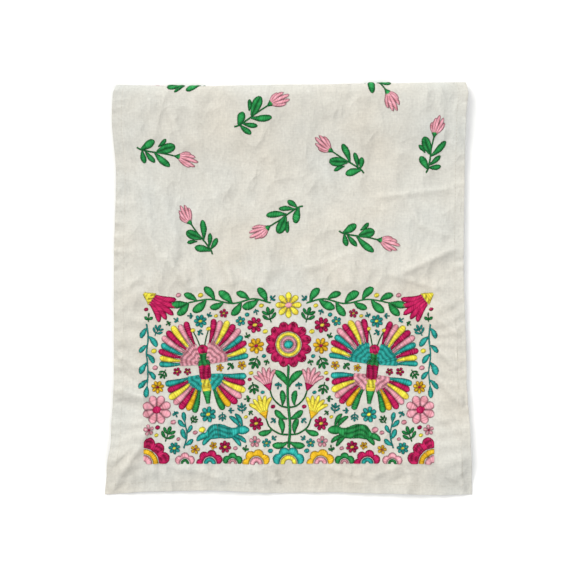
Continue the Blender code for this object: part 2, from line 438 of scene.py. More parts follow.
front_rows, bottom_rows, lower_rows, upper_rows = (layer[6] for layer in LAYERS)
row_counts = [front_rows, OUTER_TURN_ROWS, bottom_rows, SMALL_TURN_ROWS]
row_counts += [lower_rows, SMALL_TURN_ROWS, upper_rows]
rows = stations(LENGTH, HEM_MARKS, zip(row_counts, ENDS))
bands = [(SIDE_COLUMNS, SIDE_BAND), (MIDDLE_COLUMNS, WIDTH - SIDE_BAND), (SIDE_COLUMNS, WIDTH)]
columns = stations(WIDTH, HEM_MARKS, bands) - WIDTH / 2

cloth_mesh = bpy.data.meshes.new("runner")
grid_u, grid_s = (g.ravel() for g in np.meshgrid(columns, rows))
in_hem = np.minimum(WIDTH / 2 - np.abs(grid_u), np.minimum(grid_s, LENGTH - grid_s)) < HEM_LINE
grid_points = lay(grid_u, grid_s, np.where(in_hem, HEM_RAISED, 0.0))
across, down = len(columns), len(rows)
first = (np.arange(down - 1)[:, None] * across + np.arange(across - 1)[None, :]).ravel()
quads = np.stack([first, first + 1, first + across + 1, first + across], axis=1)
cloth_mesh.from_pydata(grid_points.tolist(), [], quads.tolist())
flat_map = cloth_mesh.uv_layers.new(name="flat_cloth")
corner = np.zeros(len(cloth_mesh.loops), dtype=np.int32)
cloth_mesh.loops.foreach_get("vertex_index", corner)
flat_map.data.foreach_set("uv", np.stack([grid_u[corner], grid_s[corner]], axis=1).ravel())
# Lighter ridges, partly pressed wear and partly painted light, and painted shade in the hollows: how far each
# spot stands above the cloth around it
spread_out = [(du * PROUD_REACH, ds * PROUD_REACH) for du, ds in ((1, 0), (-1, 0), (0, 1), (0, -1))]
around = sum(relief(grid_u + du, grid_s + ds) for du, ds in spread_out) / len(spread_out)
proud = np.clip((relief(grid_u, grid_s) - around) / PROUD_FULL, -1, 1)
cloth_mesh.attributes.new("proud", "FLOAT", "POINT").data.foreach_set("value", proud)
cloth_mesh.shade_smooth()
cloth = bpy.data.objects.new("runner", cloth_mesh)
link(cloth)
hem_group = cloth.vertex_groups.new(name="hem")
hem_group.add(np.flatnonzero(in_hem).tolist(), 1.0, "REPLACE")
shell = cloth.modifiers.new("thickness", "SOLIDIFY")
shell.thickness = HEM_THICKNESS
shell.offset = 0.0
shell.use_even_offset = True
shell.vertex_group = "hem"
shell.thickness_vertex_group = CLOTH_THICKNESS / HEM_THICKNESS


def srgb(red, green, blue):
    """Linear colour of an 8-bit screen colour."""
    values = [c / 255 for c in (red, green, blue)]
    return tuple(c / 12.92 if c <= 0.04045 else ((c + 0.055) / 1.055) ** 2.4 for c in values)


YARN_PITCH = 0.62 * MM
SLUB_FINE = 1500.0
SLUB_LONG = 70.0
COTTON_WARM = srgb(206, 199, 186)
COTTON_COOL = srgb(200, 202, 198)


class Nodes:
    """Short hand for wiring a shader tree. Each value is a number, a tuple or another node's output."""

    def __init__(self, material):
        material.use_nodes = True
        self.tree = material.node_tree

    def put(self, node, values):
        """Joins or sets a node's sockets."""
        for key, value in values.items():
            socket = node.inputs[key]
            if isinstance(value, bpy.types.NodeSocket):
                self.tree.links.new(value, socket)
            else:
                socket.default_value = (*value, 1.0) if socket.type == "RGBA" else value

    def surface(self, values):
        """Joins or sets the sockets of the material's own shader."""
        self.put(self.tree.nodes["Principled BSDF"], values)

    def add(self, kind, values=None, **settings):
        node = self.tree.nodes.new(kind)
        for name, value in settings.items():
            setattr(node, name, value)
        self.put(node, values or {})
        return node

    def mark(self, name):
        """A named attribute of the mesh."""
        return self.add("ShaderNodeAttribute", attribute_name=name).outputs["Fac"]

    def maths(self, operation, a, b=0.0):
        return self.add("ShaderNodeMath", {0: a, 1: b}, operation=operation).outputs[0]

    def times(self, a, b):
        return self.maths("MULTIPLY", a, b)

    def blend(self, factor, a, b, mode="MIX"):
        values = {0: factor, 6: a, 7: b}
        return self.add("ShaderNodeMix", values, data_type="RGBA", blend_type=mode).outputs[2]

    def stretched(self, vector, stretch, turn=0.0):
        values = {"Vector": vector, "Scale": stretch, "Rotation": (0.0, 0.0, turn)}
        return self.add("ShaderNodeMapping", values).outputs["Vector"]

    def noise(self, vector, scale, detail=2.0):
        values = {"Vector": vector, "Scale": scale, "Detail": detail}
        return self.add("ShaderNodeTexNoise", values).outputs["Fac"]

    def wrinkles(self, vector, scale):
        """Sharp crests that branch and fade, 0 to about 1."""
        values = {
            "Vector": vector,
            "Scale": scale,
            "Detail": 2.0,
            "Roughness": 0.55,
            "Offset": 1.0,
            "Gain": 2.0,
            "Distortion": 0.35,
        }
        kind = {"noise_type": "RIDGED_MULTIFRACTAL", "normalize": True}
        return self.add("ShaderNodeTexNoise", values, **kind).outputs["Fac"]

    def spread(self, value, low, high):
        """A noise's usual range, stretched to run from low to high."""
        values = {"Value": value, "From Min": 0.25, "From Max": 0.75, "To Min": low, "To Max": high}
        return self.add("ShaderNodeMapRange", values).outputs["Result"]

    def bump(self, height, distance, strength=1.0, under=None):
        values = {"Height": height, "Distance": distance, "Strength": strength}
        if under is not None:
            values["Normal"] = under
        return self.add("ShaderNodeBump", values).outputs["Normal"]


cotton = bpy.data.materials.new("undyed_cotton")
n = Nodes(cotton)
flat = n.add("ShaderNodeUVMap", uv_map="flat_cloth").outputs["UV"]
split = n.add("ShaderNodeSeparateXYZ", {0: flat})
warp, weft = (n.maths("SINE", n.times(split.outputs[c], math.pi / YARN_PITCH)) for c in (0, 1))
weave = n.maths("ADD", n.times(n.times(warp, weft), 0.5), 0.5)
warp_slub = n.noise(n.stretched(flat, (SLUB_FINE, SLUB_LONG, 1.0)), 1.0)
weft_slub = n.noise(n.stretched(flat, (SLUB_LONG, SLUB_FINE, 1.0)), 1.0)
slub = n.maths("ADD", n.times(warp_slub, 0.5), n.times(weft_slub, 0.5))
clouds = n.noise(flat, 9.0, 3.0)
tone = n.blend(n.spread(clouds, 0.0, 1.0), COTTON_WARM, COTTON_COOL)
patches = n.spread(n.noise(flat, 55.0, 3.0), 0.96, 1.03)
flecks = n.spread(n.noise(flat, 420.0, 3.0), 0.915, 1.075)
# Painted shade darkens the hollows, and wear with painted light brightens the ridges
ridge_wear_and_hollow_shade = n.maths("ADD", n.times(n.mark("proud"), 0.022), 1.0)
shade = n.times(n.times(n.spread(slub, 0.90, 1.09), n.times(patches, flecks)), ridge_wear_and_hollow_shade)
grey = n.add("ShaderNodeCombineColor", {0: shade, 1: shade, 2: shade}).outputs[0]
creased = n.bump(n.wrinkles(n.stretched(flat, (1.0, 0.62, 1.0), 0.45), 26.0), 1.6 * MM)
crumpled = n.bump(n.noise(flat, 150.0, 4.0), 0.5 * MM, 0.5, creased)
slubby = n.bump(slub, 0.12 * MM, 0.6, crumpled)
n.surface({
    "Base Color": n.blend(1.0, tone, grey, "MULTIPLY"),
    "Normal": n.bump(weave, 0.10 * MM, 0.5, slubby),
    "Roughness": 0.92,
    "Specular IOR Level": 0.2,
    "Sheen Weight": 0.12,
    "Sheen Roughness": 0.5,
})
cloth_mesh.materials.append(cotton)

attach(cloth, "root")
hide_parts("runner_cloth")

# Scattered sprigs
# Rosebud sprigs in dyed stranded cotton, satin-stitched through the cloth: a thin stem with leaves, a green
# cup and a bud of long petals. They are scattered over the front, round the outer fold and on the underside.

PRESSED = 0.02 * MM
UNDERSIDE = (SOLID_THICKNESS - CLOTH_THICKNESS) / 2
# Sizes of threads and stitches, in mm
THREAD_WIDTH = 0.67
THREAD_HEIGHT = 0.40
STITCH_PITCH = 0.57
SHORTEST_STITCH = 0.35
SHORT_STITCH = 4.6
SHOULDER = 1.15
SUNK = -0.25
STRAY = 0.08
SPLIT_LENGTH = 9.6
RIB_SPACING = 4.4
RIB_MARGIN = 1.6
RIB_FOOT = 0.12
MID_VEIN = 0.24
PLY_PITCH = 0.9
# How far ribs sway as a share of their spacing, over how many stitches, and how strong the painted shade at
# their ends is
RIB_SWAY = 0.17
RIB_SWAY_STITCHES = 31
RIB_DARK = 0.7
# Points along the outlines that stitches are laid between
SPAN_SPOTS = 10
BLADE_SPOTS = 60
EDGE_SPOTS = 200
DYES = (
    # thread, screen colour, how far in from a stitch's end its painted shade reaches in mm
    ("green", (30, 147, 73), 3.3),
    ("pink", (252, 158, 171), 2.6),
    ("magenta", (184, 0, 84), 2.7),
    ("teal", (36, 174, 165), 3.3),
    ("yellow", (255, 213, 66), 2.0),
    ("gold", (238, 174, 20), 2.2),
)
needle = np.random.default_rng(26)


def dyed_thread(name, colour, shade_reach):
    """Soft shiny dyed thread, with painted shade where each stitch goes down into the cloth, and painted
    light and shade in each stitch's tone.
    """
    material = bpy.data.materials.new(name)
    n = Nodes(material)
    tone, edge, run, left = (n.mark(key) for key in ("tone", "edge", "run", "left"))
    # Painted shade: the dark colour that each stitch turns to near its ends
    end_shade_colour = tuple(0.07 * c**1.25 for c in colour)
    # Painted light and shade: each stitch's random tone blends from a shaded copy of the dye to a painted
    # highlight
    highlight_colour = tuple(min(c * 1.50 + 0.03, 1.0) for c in colour)
    body = n.blend(tone, tuple(c * 0.62 for c in colour), highlight_colour)
    inward = n.maths("DIVIDE", n.maths("MINIMUM", run, left), shade_reach)
    fade = n.maths("SUBTRACT", 1.0, n.maths("MINIMUM", inward, 1.0))
    ply = n.maths("SINE", n.times(run, 2 * math.pi / PLY_PITCH))
    n.surface({
        "Base Color": n.blend(n.times(edge, fade), body, end_shade_colour),
        "Normal": n.bump(ply, 0.05 * MM, 0.5),
        "Roughness": 0.40,
        "Specular IOR Level": 0.10,
    })
    return material


THREADS = {name: dyed_thread(name + "_thread", srgb(*colour), reach) for name, colour, reach in DYES}


def thread_tree():
    """Geometry nodes that run a closed thread along every chain of edges."""
    tree = bpy.data.node_groups.new("thread_along_stitches", "GeometryNodeTree")
    face = tree.interface
    face.new_socket("Geometry", in_out="OUTPUT", socket_type="NodeSocketGeometry")
    face.new_socket("Geometry", in_out="INPUT", socket_type="NodeSocketGeometry")
    inputs = {}
    for name, kind in (
        ("Thread Width", "NodeSocketFloat"),
        ("Thread Height", "NodeSocketFloat"),
        ("Sides", "NodeSocketInt"),
        ("Thread", "NodeSocketMaterial"),
    ):
        inputs[name] = face.new_socket(name, in_out="INPUT", socket_type=kind).identifier
    add = tree.nodes.new
    source, result = add("NodeGroupInput"), add("NodeGroupOutput")
    chain = add("GeometryNodeMeshToCurve")
    upright = add("GeometryNodeSetCurveNormal")
    upright.mode = "Z_UP"
    circle = add("GeometryNodeCurvePrimitiveCircle")
    circle.inputs["Radius"].default_value = 0.5
    size = add("ShaderNodeCombineXYZ")
    size.inputs["Z"].default_value = 1.0
    shaped = add("GeometryNodeTransform")
    tube = add("GeometryNodeCurveToMesh")
    tube.inputs["Fill Caps"].default_value = True
    smooth = add("GeometryNodeSetShadeSmooth")
    real = add("GeometryNodeRealizeInstances")
    dye = add("GeometryNodeSetMaterial")
    for giver, output, taker, socket in (
        (source, "Geometry", chain, "Mesh"),
        (chain, "Curve", upright, "Curve"),
        (source, "Sides", circle, "Resolution"),
        (source, "Thread Width", size, "X"),
        (source, "Thread Height", size, "Y"),
        (circle, "Curve", shaped, "Geometry"),
        (size, "Vector", shaped, "Scale"),
        (upright, "Curve", tube, "Curve"),
        (shaped, "Geometry", tube, "Profile Curve"),
        (tube, "Mesh", smooth, "Geometry"),
        (smooth, "Geometry", real, "Geometry"),
        (real, "Geometry", dye, "Geometry"),
        (source, "Thread", dye, "Material"),
        (dye, "Geometry", result, "Geometry"),
    ):
        tree.links.new(giver.outputs[output], taker.inputs[socket])
    return tree, inputs


THREAD_TREE, THREAD_INPUTS = thread_tree()


def threaded(name, points, edges, attributes, width, height, sides, material):
    """A mesh of threads along chains of points, made by the thread tree."""
    chains = bpy.data.meshes.new(name)
    chains.from_pydata(points.tolist(), edges.tolist(), [])
    for key, values in attributes.items():
        chains.attributes.new(key, "FLOAT", "POINT").data.foreach_set("value", values)
    piece = bpy.data.objects.new(name, chains)
    link(piece)
    modifier = piece.modifiers.new("threads", "NODES")
    modifier.node_group = THREAD_TREE
    modifier[THREAD_INPUTS["Thread Width"]] = width * MM
    modifier[THREAD_INPUTS["Thread Height"]] = height * MM
    modifier[THREAD_INPUTS["Sides"]] = sides
    modifier[THREAD_INPUTS["Thread"]] = material
    ready = bpy.context.evaluated_depsgraph_get()
    shown = piece.evaluated_get(ready)
    made = bpy.data.meshes.new_from_object(shown, preserve_all_data_layers=True, depsgraph=ready)
    piece.modifiers.clear()
    piece.data = made
    made.name = name
    bpy.data.meshes.remove(chains)
    return piece


def along_line(points, count):
    """A polyline's points at count even stations."""
    points = np.asarray(points, float)
    steps = np.hypot(*np.diff(points, axis=0).T)
    at = np.concatenate([[0.0], np.cumsum(steps)])
    wanted = np.linspace(0, at[-1], count)
    return np.stack([np.interp(wanted, at, points[:, c]) for c in (0, 1)], axis=1)


def line_length(points):
    """The length of a polyline."""
    return float(np.hypot(*np.diff(np.asarray(points, float), axis=0).T).sum())


def curve_through(points):
    """A smooth curve through points (Catmull-Rom)."""
    p = np.asarray(points, float)
    p = np.vstack([2 * p[0] - p[1], p, 2 * p[-1] - p[-2]])
    t = np.linspace(0, 1, SPAN_SPOTS, endpoint=False)[:, None]
    spans = []
    for a, b, c, d in zip(p[:-3], p[1:-2], p[2:-1], p[3:]):
        square, cube = 2 * a - 5 * b + 4 * c - d, 3 * b - a - 3 * c + d
        spans.append(0.5 * (2 * b + (c - a) * t + square * t**2 + cube * t**3))
    return np.vstack(spans + [p[-2:-1]])


def one_stitch(start, end, rise, tone, feet, dark):
    """A stitch from start to end: its points, their heights, how strong the painted shade at its ends gets,
    and its tone.
    """
    length = float(np.hypot(*(end - start)))
    if length < SHORT_STITCH:
        share, height = (0, 0.25, 0.75, 1), (0, 0.88, 0.88, 0)
    else:
        near = SHOULDER / length
        share, height = (0, near, 0.5, 1 - near, 1), (0, 0.78, 1.0, 0.78, 0)
    share, height = np.array(share), np.array(height) * rise
    height[0], height[-1] = feet
    return start + (end - start) * share[:, None], height, dark[0] + (dark[1] - dark[0]) * share, tone


def satin(left, right, slant=0.0, rise=None, dark=(1.0, 1.0), feet=(SUNK, SUNK)):
    """Satin stitches from one edge of a shape to the other, split into wandering ribs where they are long."""
    count = max(3, round(max(line_length(left), line_length(right), 0.8) / STITCH_PITCH))
    left, right = along_line(left, EDGE_SPOTS), along_line(right, EDGE_SPOTS)
    last = EDGE_SPOTS - 1
    place, shift = np.linspace(0, last, count), slant * last
    starts = left[np.clip(place + shift, 0, last).astype(int)] + needle.normal(0, STRAY, (count, 2))
    ends = right[np.clip(place - shift, 0, last).astype(int)] + needle.normal(0, STRAY, (count, 2))
    # Each stitch's random tone, which picks its colour between the thread's painted shaded and highlighted
    # copies
    strands = np.sin(np.arange(count) * 1.5 + needle.uniform(0, 6)) * 0.12
    bands = np.sin(np.arange(count) * 0.35 + needle.uniform(0, 6)) * 0.16
    tones = np.clip(0.5 + strands + bands + needle.normal(0, 0.16, count), 0, 1)
    found = []
    for i, (start, end, tone) in enumerate(zip(starts, ends, tones)):
        length = float(np.hypot(*(end - start)))
        if length < SHORTEST_STITCH:
            continue
        if length <= SPLIT_LENGTH:
            high = rise if rise is not None else min(0.85, 0.28 + 0.13 * length)
            found.append(one_stitch(start, end, high, tone, feet, dark))
            continue
        wave = 0.5 + RIB_SWAY * math.sin(i * 2 * math.pi / RIB_SWAY_STITCHES) + needle.normal(0, 0.03)
        ribs = (np.arange(20) + wave) * RIB_SPACING
        marks = [0.0, *(m for m in ribs if RIB_MARGIN < m < length - RIB_MARGIN), length]
        for m0, m1 in zip(marks[:-1], marks[1:]):
            middle = (m0 + m1) / 2
            dome = 0.52 + 0.28 * min(1.0, min(middle, length - middle) / 3)
            at_start, at_end = m0 == 0.0, m1 == length
            # Where a long stitch is split, its inner ends get a lighter painted shade
            found.append(one_stitch(
                start + (end - start) * (m0 / length),
                start + (end - start) * (m1 / length),
                dome,
                tone,
                (feet[0] if at_start else RIB_FOOT, feet[1] if at_end else RIB_FOOT),
                (dark[0] if at_start else RIB_DARK, dark[1] if at_end else RIB_DARK),
            ))
    return found


def strip(line, half):
    """Both edges of a strip along a middle line, half its width away."""
    way = np.gradient(line, axis=0)
    way /= np.hypot(*way.T)[:, None]
    normal = np.stack([-way[:, 1], way[:, 0]], axis=1)
    return line + normal * half[:, None], line - normal * half[:, None]


def blade(base, tip, width, bend=0.0, fullness=0.62, root=0.24, slant=0.05, point=0.5, halves=False):
    """A leaf or petal: its middle line bends aside, and it is widest at the fullness share of its length."""
    base, tip = np.asarray(base, float), np.asarray(tip, float)
    run = tip - base
    aside = np.array([-run[1], run[0]])
    t = np.linspace(0, 1, BLADE_SPOTS)
    line = base + run * t[:, None] + aside * (bend * 4 * t * (1 - t))[:, None]
    widening = root + (1 - root) * np.sin(math.pi / 2 * np.clip(t / fullness, 0, 1)) ** 1.3
    closing = (1 - np.clip((t - fullness) / (1 - fullness), 0, 1) ** 2) ** point
    left, right = strip(line, width / 2 * widening * closing)
    if halves:
        vein_left, vein_right = strip(line, np.full(len(line), MID_VEIN / 2))
        # Painted shade on each half runs in from the vein as well as from the leaf's rim
        inside = {"dark": (0.8, 1.0), "feet": (0.1, SUNK)}
        return satin(vein_right, left, -slant, **inside) + satin(vein_left, right, -slant, **inside)
    return satin(left, right, slant)


def stalk(points, width, taper):
    """A stem of narrow satin along a smooth curve, thinning to its end."""
    line = curve_through(points)
    return satin(*strip(line, np.linspace(width / 2, width / 2 * taper, len(line))), 0.02, rise=0.5)


def turned(points, angle, origin):
    """Points turned about the origin by an angle and moved there."""
    c, s = math.cos(angle), math.sin(angle)
    return np.asarray(points, float) @ np.array([[c, s], [-s, c]]) + np.asarray(origin, float)


def polar(angle, reach, centre=(0.0, 0.0)):
    """The point at an angle and a distance from a centre."""
    return np.array([centre[0] + reach * math.cos(angle), centre[1] + reach * math.sin(angle)])


def front_flat(points):
    """Flat places, across and along the cloth, of points seen on the front layer, in mm."""
    x, y = points[:, 0] * MM, points[:, 1] * MM
    y = y - through(x, FOLD_EDGE, 1) * ease(y / FRONT_HALF) - through(x, HEM_EDGE, 1) * ease(-y / FRONT_HALF)
    seen = np.minimum(y, FRONT_HALF - OUTER_TURN_REACH)
    left, right = through(seen, SIDES, 1), through(seen, SIDES, 2)
    return ((x - left) / (right - left) - 0.5) * WIDTH, y + FRONT_HALF


def direct_flat(points):
    """Flat places of points given on the flat cloth itself, in mm."""
    return points[:, 0] * MM, points[:, 1] * MM


def sew(name, stitches, thread, flat_of=front_flat, width=THREAD_WIDTH, height=THREAD_HEIGHT, sides=4):
    """Lays stitches on the cloth as one piece of thread that goes with it."""
    sizes = np.array([len(s[0]) for s in stitches])
    spots = np.vstack([s[0] for s in stitches])
    lift = np.concatenate([s[1] for s in stitches]) * MM
    edge = np.concatenate([s[2] for s in stitches])
    tone = np.repeat([s[3] for s in stitches], sizes)
    u, s = flat_of(spots)
    points = lay(u, s, CLOTH_THICKNESS / 2 + lift)
    first_of = np.repeat(np.concatenate([[0], np.cumsum(sizes)[:-1]]), sizes)
    index = np.arange(len(spots))
    steps = np.concatenate([[0.0], np.linalg.norm(np.diff(points, axis=0), axis=1)])
    steps[index == first_of] = 0.0
    along = np.cumsum(steps)
    run = (along - along[first_of]) / MM
    left = np.repeat(run[np.cumsum(sizes) - 1], sizes) - run
    starts = index[:-1][first_of[:-1] == first_of[1:]]
    edges = np.stack([starts, starts + 1], axis=1)
    # edge holds how strong each stitch's painted shade is, and run and left how far each point is from its
    # ends
    marks = {"tone": tone, "edge": edge, "run": run, "left": left}
    piece = threaded(name, points, edges, marks, width, height, sides, THREADS[thread])
    # Stitches under the bundle are pressed flat between the cloth and the table
    corners = np.zeros(len(piece.data.vertices) * 3)
    piece.data.vertices.foreach_get("co", corners)
    z = corners[2::3]
    if z.min() < PRESSED:
        depth = UNDERSIDE - z
        z[:] = np.where(depth > 0, UNDERSIDE - depth * (UNDERSIDE - PRESSED) / depth.max(), z)
    piece.data.vertices.foreach_set("co", corners)
    piece.data.update()
    piece.parent = cloth
    return piece


# Each leaf of a sprig: where it starts, along the stem from the cut end and off it, and how it lies
SPRIG_LEAVES = (
    # along, off, side, angle to the stem, length, width, bend, drawn as two halves
    (4.0, 0.5, 1, 46, 15.4, 8.0, -0.05, False),
    (5.5, 0.5, -1, 66, 12.0, 6.0, 0.06, False),
    (8.5, 0.5, -1, 37, 14.2, 5.4, 0.05, False),
    (18.0, 0.5, -1, 30, 19.8, 7.0, 0.06, False),
    (19.5, 0.5, 1, 28, 19.6, 9.8, 0.02, True),
    (20.0, 6.2, 1, 56, 10.2, 4.6, -0.08, False),
)
SPRIG_PETALS = (
    # angle off the stem, length, width, bend
    (23, 11.5, 3.3, 0.12),
    (11, 16.0, 3.8, 0.07),
    (0, 19.5, 4.0, 0.02),
    (-11, 18.0, 3.9, -0.04),
    (-22, 14.0, 3.4, -0.10),
)
STEM_LENGTH = 38.0
SPRIG_LENGTH = 60.5
BUD_TURN = -4.0


def sprig(end, tip, side):
    """Green and pink stitches of one sprig from its cut end to its bud's tip, leaning to one side."""
    end, tip = np.asarray(end, float), np.asarray(tip, float)
    heading = math.atan2(*(tip - end)[::-1])
    scale = float(np.hypot(*(tip - end))) / SPRIG_LENGTH
    wobble = needle.normal(0, 1, (len(SPRIG_LEAVES), 2))

    def spot(along, aside):
        return turned([(along * scale, aside * scale * side)], heading, end)[0]

    stem = ((0, 1.6), (4, 0.2), (14, 0.0), (26, 0.6), (STEM_LENGTH, 0.4))
    green, pink = stalk([spot(*place) for place in stem], 1.7, 0.8), []
    for (start, off, hand, angle, length, width, bend, halves), (turn, grow) in zip(SPRIG_LEAVES, wobble):
        way = math.radians((angle + 3 * turn) * hand)
        reach = length * (1 + 0.05 * grow)
        foot = (start, hand * off)
        point = (foot[0] + reach * math.cos(way), foot[1] + reach * math.sin(way))
        aside = bend * side * hand
        green += blade(spot(*foot), spot(*point), width * scale, aside, 0.62, 0.30, 0.05, 0.46, halves)
    cup = STEM_LENGTH - 1.0
    left, right = (spot(cup, 0.8), spot(cup + 4.6, 3.9)), (spot(cup, -0.2), spot(cup + 5.6, -3.4))
    green += satin(left, right, rise=0.8)
    for angle, length, width, bend in SPRIG_PETALS:
        way = math.radians(angle + BUD_TURN + needle.normal(0, 1.5))
        foot = (cup + 4.2, 3.4 * math.sin(math.radians(angle)) + 0.2)
        point = (foot[0] + length * math.cos(way), foot[1] + length * math.sin(way))
        pink += blade(spot(*foot), spot(*point), width * scale, bend * side, 0.6, 0.5, 0.12)
    return green, pink


FRONT_SPRIGS = (
    # end of the stem, tip of the bud, side of the big leaf
    ((-51.4, 155.2), (-0.5, 189.0), 1),
    ((-146.4, 135.1), (-86.9, 123.6), 1),
    ((73.4, 113.0), (24.5, 144.7), 1),
    ((133.9, 112.0), (144.5, 167.7), 1),
    ((-72.5, 34.3), (-106.1, 79.4), 1),
    ((13.0, 81.3), (-37.0, 48.7), 1),
    ((48.5, 54.4), (108.0, 42.9), 1),
    ((71.8, 224.0), (106.1, 172.5), 1),
    ((-82.0, 200.4), (-140.8, 207.6), 1),
)
BACK_SPRIGS = (
    # across and along the flat cloth
    ((-62.0, 446.0), (-118.0, 468.0), 1),
    ((6.0, 470.0), (44.0, 422.0), -1),
    ((92.0, 452.0), (146.0, 480.0), 1),
    ((-128.0, 512.0), (-110.0, 570.0), -1),
    ((-30.0, 540.0), (22.0, 508.0), 1),
    ((140.0, 528.0), (112.0, 582.0), -1),
    ((-60.0, 600.0), (-118.0, 622.0), 1),
    ((34.0, 596.0), (0.0, 648.0), -1),
    ((96.0, 640.0), (142.0, 682.0), 1),
    ((-92.0, 668.0), (-40.0, 700.0), 1),
)

for label, places, flat_of, sides in (
    ("front", FRONT_SPRIGS, front_flat, 4),
    ("back", BACK_SPRIGS, direct_flat, 3),
):
    leaves, buds = [], []
    for end, tip, side in places:
        green, pink = sprig(end, tip, side)
        leaves += green
        buds += pink
    sew(label + "_sprig_leaves", leaves, "green", flat_of, sides=sides)
    sew(label + "_sprig_buds", buds, "pink", flat_of, sides=sides)

# Hem stitching
# The lockstitch in undyed sewing thread that holds the turned hem down, close to its inner edge, all round
# the runner. Short stitches with a small sunk gap between them, pressed a little into the cloth.

SEAM_IN = 9.4
STITCH_LENGTH = 2.6
STITCH_GAP = 0.45
SEWING_THREAD = (0.42, 0.30, 3)  # width and height in mm, and sides


def seam(start, end):
    """Lockstitches in a row from start to end, in mm on the flat cloth."""
    start, end = np.asarray(start, float), np.asarray(end, float)
    span = float(np.hypot(*(end - start)))
    count = int(span / (STITCH_LENGTH + STITCH_GAP))
    way = (end - start) / span
    stitches = []
    for k in range(count):
        first = start + way * (span * k / count)
        last = first + way * STITCH_LENGTH
        share, height = np.array([0, 0.2, 0.8, 1]), np.array([-0.2, 0.12, 0.12, -0.2])
        # A light painted shade at the ends of the hem stitches
        stitches.append((first + (last - first) * share[:, None], height, np.full(4, 0.25), 0.5))
    return stitches


THREADS["undyed"] = dyed_thread("undyed_thread", srgb(198, 192, 180), 2.6)
left, right = SEAM_IN - WIDTH / MM / 2, WIDTH / MM / 2 - SEAM_IN
near, far = SEAM_IN, LENGTH / MM - SEAM_IN
seams = seam((left, near), (right, near)) + seam((left, near), (left, far))
seams += seam((right, near), (right, far)) + seam((left, far), (right, far))
sew("hem_stitching", seams, "undyed", direct_flat, *SEWING_THREAD)

# Panel: flowering plant
# The middle of the stitched end panel: one upright plant with a large rosette on top and pairs of tulips on
# curving branches. Dyed cotton thread in satin stitch, as on the sprigs.

RIGHT_LEFT = (1, -1)
DISC_TURN = 0.3
TULIP_PETALS = 5
GARLAND_SPOTS = 400
panel_spots = []


def on_panel(points, side=1):
    """Points of the panel's own plan, in mm from its middle, mirrored for the left side."""
    return np.asarray(points, float) * (side, 1) + PANEL_CENTRE


def new_spools():
    """An empty list of stitches for each thread."""
    return {name: [] for name in THREADS}


def sew_all(prefix, spools):
    """Sews each thread's stitches as one piece, and notes their spots so that the fillers keep clear."""
    for name, stitches in spools.items():
        if stitches:
            sew(prefix + "_" + name, stitches, name)
            panel_spots.extend((name, stitch[0] - PANEL_CENTRE) for stitch in stitches)


def circle(centre, radius, start=0.0, end=2 * math.pi, lobes=0, depth=0.0, count=120):
    """Points round a circle, or a scalloped one, between two angles."""
    angle = np.linspace(start, end, count)
    scallop = depth * np.abs(np.sin((angle - start) * lobes / 2)) ** 0.7 if lobes else 0.0
    reach = radius + scallop * np.ones(count)
    return np.stack([centre[0] + reach * np.cos(angle), centre[1] + reach * np.sin(angle)], axis=1)


def disc(centre, radius):
    """A round spot, stitched straight across from its lower half to its upper one."""
    lower = circle(centre, radius, DISC_TURN + math.pi, DISC_TURN + 2 * math.pi, count=40)
    upper = circle(centre, radius, DISC_TURN + math.pi, DISC_TURN, count=40)
    return satin(lower, upper)


def ring(centre, inner, outer, lobes=0, depth=0.0, start=0.0, end=2 * math.pi):
    """A band between two circles or arcs, its outer edge scalloped if it has lobes."""
    return satin(circle(centre, inner, start, end), circle(centre, outer, start, end, lobes, depth))


def daisy(spools, centre, radius, petals, colour, eye, eye_radius, width, start):
    """Petals round an eye, the first one at the start angle."""
    for k in range(petals):
        angle = start + 2 * math.pi * k / petals
        foot, tip = polar(angle, eye_radius * 0.9, centre), polar(angle, radius, centre)
        spools[colour] += blade(foot, tip, width, 0.0, 0.64, 0.42, 0.0)
    spools[eye] += disc(centre, eye_radius)


def tulip(spools, foot, heading, size, petal_colour, cup_colour, spread, fat):
    """A cup with long petals opening from it; heading is its direction."""
    foot = np.asarray(foot, float)
    head = polar(heading, size * 0.30, foot)
    for k in range(TULIP_PETALS):
        share = (k / (TULIP_PETALS - 1) - 0.5) * 2
        start = head + polar(heading + math.pi / 2, share * size * 0.15)
        tip = start + polar(heading + share * spread, size * (0.86 - 0.16 * abs(share)))
        spools[petal_colour] += blade(start, tip, size * fat, -0.10 * share, 0.66, 0.5, 0.10)
    aside, thin = polar(heading + math.pi / 2, size * 0.23), polar(heading + math.pi / 2, size * 0.06)
    spools[cup_colour] += satin([foot + thin, head + aside], [foot - thin, head - aside], rise=0.9)


def garland(spools, points, spacing, leaf, hand, angle=0.66, colour="green"):
    """A curving stem with leaves by turns and one at its tip; leaf is their length and width."""
    line = curve_through(points)
    spools[colour] += stalk(points, 1.6, 0.7)
    total = line_length(line)
    spots, last = along_line(line, GARLAND_SPOTS), GARLAND_SPOTS - 1
    for k in range(int(total / spacing - 0.5) + 1):
        at = int(last * min(0.985, (0.5 + k) * spacing / total))
        way = spots[min(at + 3, last)] - spots[max(at - 3, 0)]
        heading = math.atan2(way[1], way[0]) + hand * angle
        grow = 1 + 0.12 * math.sin(k * 2.1)
        end = spots[at] + polar(heading, leaf[0] * grow)
        spools[colour] += blade(spots[at], end, leaf[1] * grow, 0.09 * hand)
        hand = -hand
    way = spots[-1] - spots[-8]
    end = spots[-1] + polar(math.atan2(way[1], way[0]), leaf[0])
    spools[colour] += blade(spots[-1], end, leaf[1])


